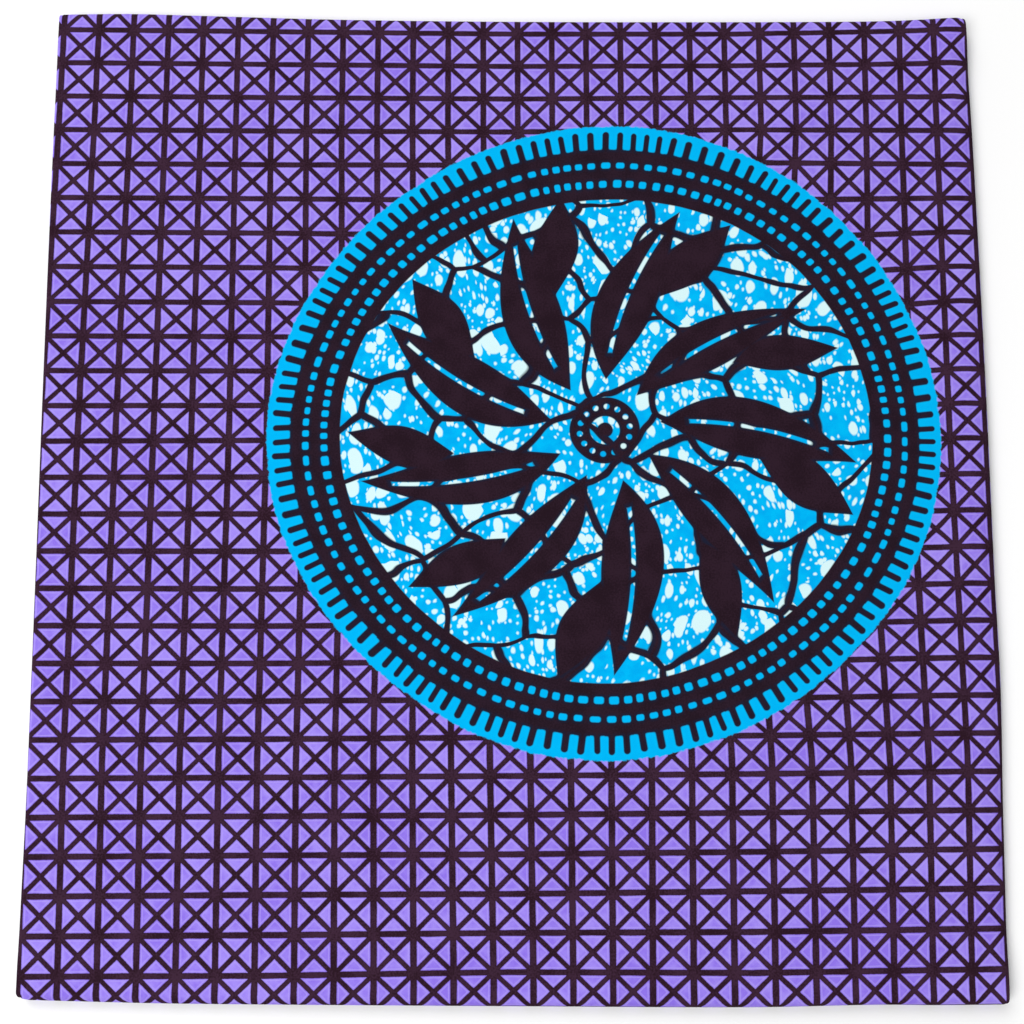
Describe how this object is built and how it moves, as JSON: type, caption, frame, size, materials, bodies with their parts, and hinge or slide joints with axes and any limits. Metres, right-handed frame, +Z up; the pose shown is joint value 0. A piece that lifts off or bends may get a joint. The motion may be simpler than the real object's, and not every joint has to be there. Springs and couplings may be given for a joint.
{
  "type": "folded wax print fabric",
  "caption": "Uncut length of wax print cotton, doubled across its width and rolled flat into a thin, nearly square pack with rounded folds, lying flat.",
  "frame": {"origin": "on the surface that the pack rests on, under the middle of its bounding box", "axes": "+X to the right along the turned edges, +Y away from the front turn to the back turn, +Z up"},
  "size_m": [0.5826, 0.6082, 0.011],
  "materials": {
    "wax_print_cotton": "plain woven cotton with a faint waxy sheen, dyed violet, cyan, white and dark plum"
  },
  "bodies": {
    "root": {"outer_turn": "wax_print_cotton", "inner_layers": "wax_print_cotton"}
  },
  "joints": []
}
